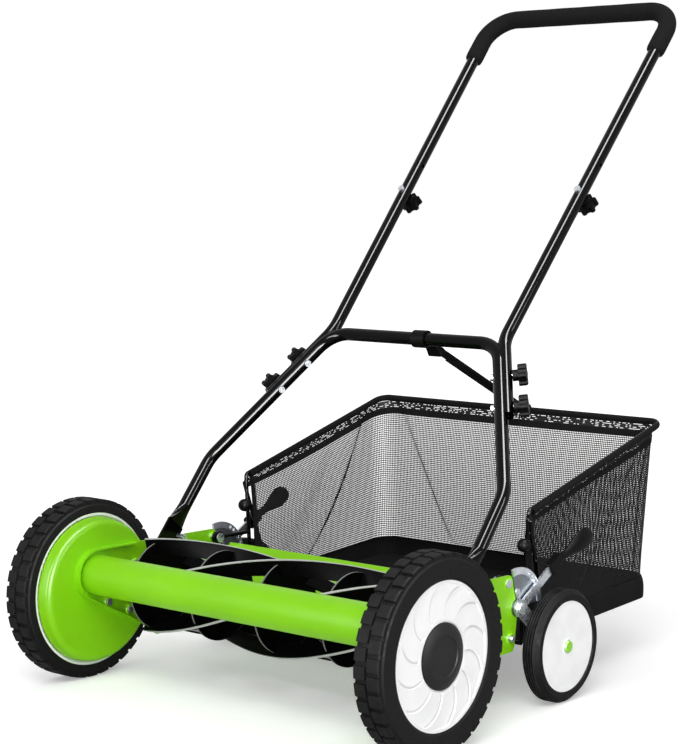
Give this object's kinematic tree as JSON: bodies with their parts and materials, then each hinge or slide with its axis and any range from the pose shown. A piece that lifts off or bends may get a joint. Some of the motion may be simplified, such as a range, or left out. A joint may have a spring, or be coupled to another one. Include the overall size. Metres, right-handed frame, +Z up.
{
  "type": "reel mower",
  "caption": "Push reel mower with gear-driven helical blade reel, height levers on the rear wheels, bent tube handle and a hanging mesh grass catcher.",
  "frame": {"origin": "on the ground, midway under the drive axle", "axes": "+X along the drive axle to the operator's left, +Y to the rear, +Z up"},
  "size_m": [0.662, 0.943, 0.975],
  "materials": {
    "green_paint": "gloss",
    "black_paint": "gloss",
    "reel_steel": "satin black with ground edges",
    "bare_steel": "machined",
    "zinc_steel": "zinc plated",
    "tyre": "matte",
    "white_plastic": "satin",
    "black_plastic": "satin",
    "green_plastic": "gloss",
    "foam": "matte foam",
    "mesh_fabric": "open woven mesh",
    "floor_fabric": "coated cloth",
    "webbing": "woven webbing"
  },
  "bodies": {
    "chassis": {"front_tube": "green_paint", "bed_knife": "bare_steel", "bed_bar": "black_paint", "rear_deflector": "green_paint", "side_plate_left": "green_paint", "dust_cover_left": "green_paint", "stub_axle_left": "bare_steel", "reel_bearing_left": "bare_steel", "sector_plate_left": "zinc_steel", "frame_bolts_left": "zinc_steel", "pivot_bolts_left": "zinc_steel", "side_plate_right": "green_paint", "dust_cover_right": "green_paint", "stub_axle_right": "bare_steel", "reel_bearing_right": "bare_steel", "sector_plate_right": "zinc_steel", "frame_bolts_right": "zinc_steel", "pivot_bolts_right": "zinc_steel"},
    "drive_wheel_left": {"drive_tyre_left": "tyre", "drive_rim_left": "white_plastic", "hub_cap_left": "black_plastic"},
    "drive_wheel_right": {"drive_tyre_right": "tyre", "drive_rim_right": "white_plastic", "hub_cap_right": "black_plastic"},
    "reel": {"reel_shaft": "bare_steel", "reel_discs": "reel_steel", "reel_blades": "reel_steel", "pinion_left": "bare_steel", "pinion_right": "bare_steel"},
    "height_arm_left": {"height_lever_left": "zinc_steel", "lever_grip_left": "black_plastic", "rear_axle_left": "bare_steel"},
    "rear_wheel_left": {"rear_tyre_left": "tyre", "rear_rim_left": "white_plastic", "rear_cap_left": "green_plastic"},
    "height_arm_right": {"height_lever_right": "zinc_steel", "lever_grip_right": "black_plastic", "rear_axle_right": "bare_steel"},
    "rear_wheel_right": {"rear_tyre_right": "tyre", "rear_rim_right": "white_plastic", "rear_cap_right": "green_plastic"},
    "handle": {"lower_handle": "black_paint", "mid_tube_left": "black_paint", "mid_tube_right": "black_paint", "upper_handle": "black_paint", "foam_grip": "foam", "handle_bolts": "zinc_steel"},
    "lap_upper_knob_left_body": {"lap_upper_knob_left": "black_plastic"},
    "lap_upper_knob_right_body": {"lap_upper_knob_right": "black_plastic"},
    "lap_lower_knob_left_body": {"lap_lower_knob_left": "black_plastic"},
    "lap_lower_knob_right_body": {"lap_lower_knob_right": "black_plastic"},
    "joint_knob_left_body": {"joint_knob_left": "black_plastic"},
    "joint_knob_right_body": {"joint_knob_right": "black_plastic"},
    "catcher": {"catcher_mesh": "mesh_fabric", "catcher_floor": "floor_fabric", "catcher_frame": "black_paint", "post_knobs": "black_plastic"},
    "strap": {"strap_clip": "black_plastic", "strap_web": "webbing"}
  },
  "joints": [
    {"name": "left_wheel_spin", "type": "hinge", "parent": "chassis", "child": "drive_wheel_left", "pos_m": [0, 0, 0.127], "axis": [1, 0, 0], "continuous": true},
    {"name": "right_wheel_spin", "type": "hinge", "parent": "chassis", "child": "drive_wheel_right", "pos_m": [0, 0, 0.127], "axis": [1, 0, 0], "continuous": true},
    {"name": "reel_spin", "type": "hinge", "parent": "chassis", "child": "reel", "pos_m": [0, 0.084, 0.127], "axis": [1, 0, 0], "continuous": true},
    {"name": "left_height_lever", "type": "hinge", "parent": "chassis", "child": "height_arm_left", "pos_m": [0, 0.241, 0.138], "axis": [1, 0, 0], "range_deg": [-10, 30]},
    {"name": "left_rear_wheel_spin", "type": "hinge", "parent": "height_arm_left", "child": "rear_wheel_left", "pos_m": [0, 0.315, 0.077], "axis": [1, 0, 0], "continuous": true},
    {"name": "right_height_lever", "type": "hinge", "parent": "chassis", "child": "height_arm_right", "pos_m": [0, 0.241, 0.138], "axis": [1, 0, 0], "range_deg": [-10, 30]},
    {"name": "right_rear_wheel_spin", "type": "hinge", "parent": "height_arm_right", "child": "rear_wheel_right", "pos_m": [0, 0.315, 0.077], "axis": [1, 0, 0], "continuous": true},
    {"name": "handle_fold", "type": "hinge", "parent": "chassis", "child": "handle", "pos_m": [0, 0.108, 0.163], "axis": [1, 0, 0], "range_deg": [0, 20]},
    {"name": "catcher_swing", "type": "hinge", "parent": "chassis", "child": "catcher", "pos_m": [0, 0.222, 0.173], "axis": [1, 0, 0], "range_deg": [0, 23]},
    {"name": "strap_swing", "type": "hinge", "parent": "handle", "child": "strap", "pos_m": [0, 0.365, 0.474], "axis": [1, 0, 0], "range_deg": [-5, 0]},
    {"name": "lap_upper_knob_left_turn", "type": "hinge", "parent": "handle", "child": "lap_upper_knob_left_body", "pos_m": [0.17623, 0.33095, 0.43213], "axis": [0.8521, 0.5097, 0.1192], "continuous": true},
    {"name": "lap_upper_knob_right_turn", "type": "hinge", "parent": "handle", "child": "lap_upper_knob_right_body", "pos_m": [-0.17623, 0.33095, 0.43213], "axis": [-0.8521, 0.5097, 0.1192], "continuous": true},
    {"name": "lap_lower_knob_left_turn", "type": "hinge", "parent": "handle", "child": "lap_lower_knob_left_body", "pos_m": [0.20027, 0.29974, 0.39375], "axis": [0.8521, 0.5097, 0.1192], "continuous": true},
    {"name": "lap_lower_knob_right_turn", "type": "hinge", "parent": "handle", "child": "lap_lower_knob_right_body", "pos_m": [-0.20027, 0.29974, 0.39375], "axis": [-0.8521, 0.5097, 0.1192], "continuous": true},
    {"name": "joint_knob_left_turn", "type": "hinge", "parent": "handle", "child": "joint_knob_left_body", "pos_m": [0.16142, 0.55237, 0.68091], "axis": [0, 0.7465, -0.6654], "continuous": true},
    {"name": "joint_knob_right_turn", "type": "hinge", "parent": "handle", "child": "joint_knob_right_body", "pos_m": [-0.16142, 0.55237, 0.68091], "axis": [0, 0.7465, -0.6654], "continuous": true}
  ],
  "couplings": [
    {"joint": "right_wheel_spin", "follows": "left_wheel_spin", "ratio": 1},
    {"joint": "reel_spin", "follows": "left_wheel_spin", "ratio": 6.6},
    {"joint": "catcher_swing", "follows": "handle_fold", "ratio": 1.13},
    {"joint": "strap_swing", "follows": "handle_fold", "ratio": -0.24}
  ]
}
